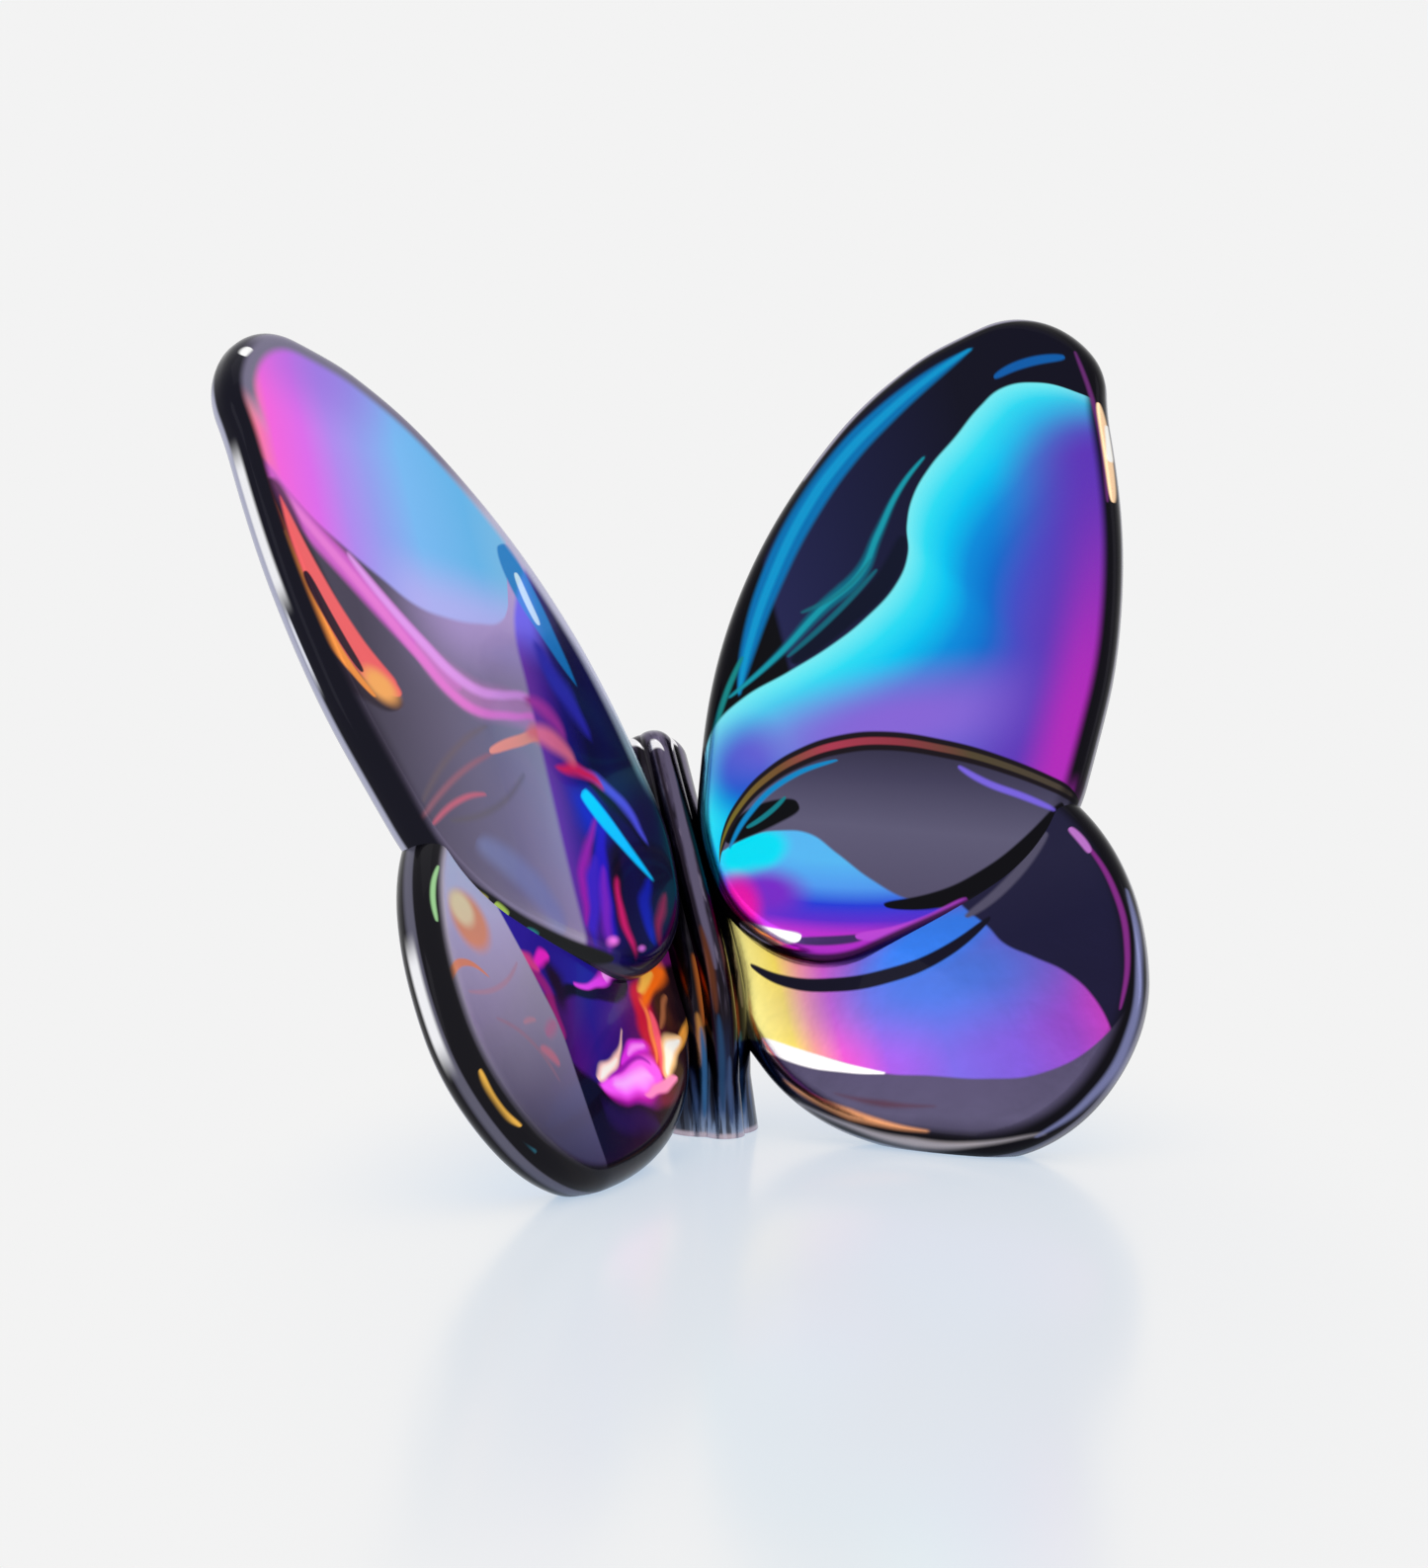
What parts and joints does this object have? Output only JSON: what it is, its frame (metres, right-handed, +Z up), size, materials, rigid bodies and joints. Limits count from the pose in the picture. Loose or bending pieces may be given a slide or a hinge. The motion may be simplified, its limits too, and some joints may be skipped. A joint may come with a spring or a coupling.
{
  "type": "butterfly ornament",
  "caption": "Standing crystal butterfly ornament: open leaf-shaped wings with rounded rims, a ribbed body and a flared foot, dark glass with an iridescent coat.",
  "frame": {"origin": "on the table under the middle of the whole ornament", "axes": "+Z up, -Y the front that the wings open towards, +X the viewer's right"},
  "size_m": [0.0694, 0.0366, 0.0579],
  "materials": {
    "body_crystal": "polished dark violet crystal",
    "forewing_crystal": "polished crystal, iridescent coat",
    "hindwing_crystal": "polished crystal, iridescent coat"
  },
  "bodies": {
    "root": {"body": "body_crystal", "left_forewing": "forewing_crystal", "right_forewing": "forewing_crystal", "left_hindwing": "hindwing_crystal", "right_hindwing": "hindwing_crystal"}
  },
  "joints": []
}
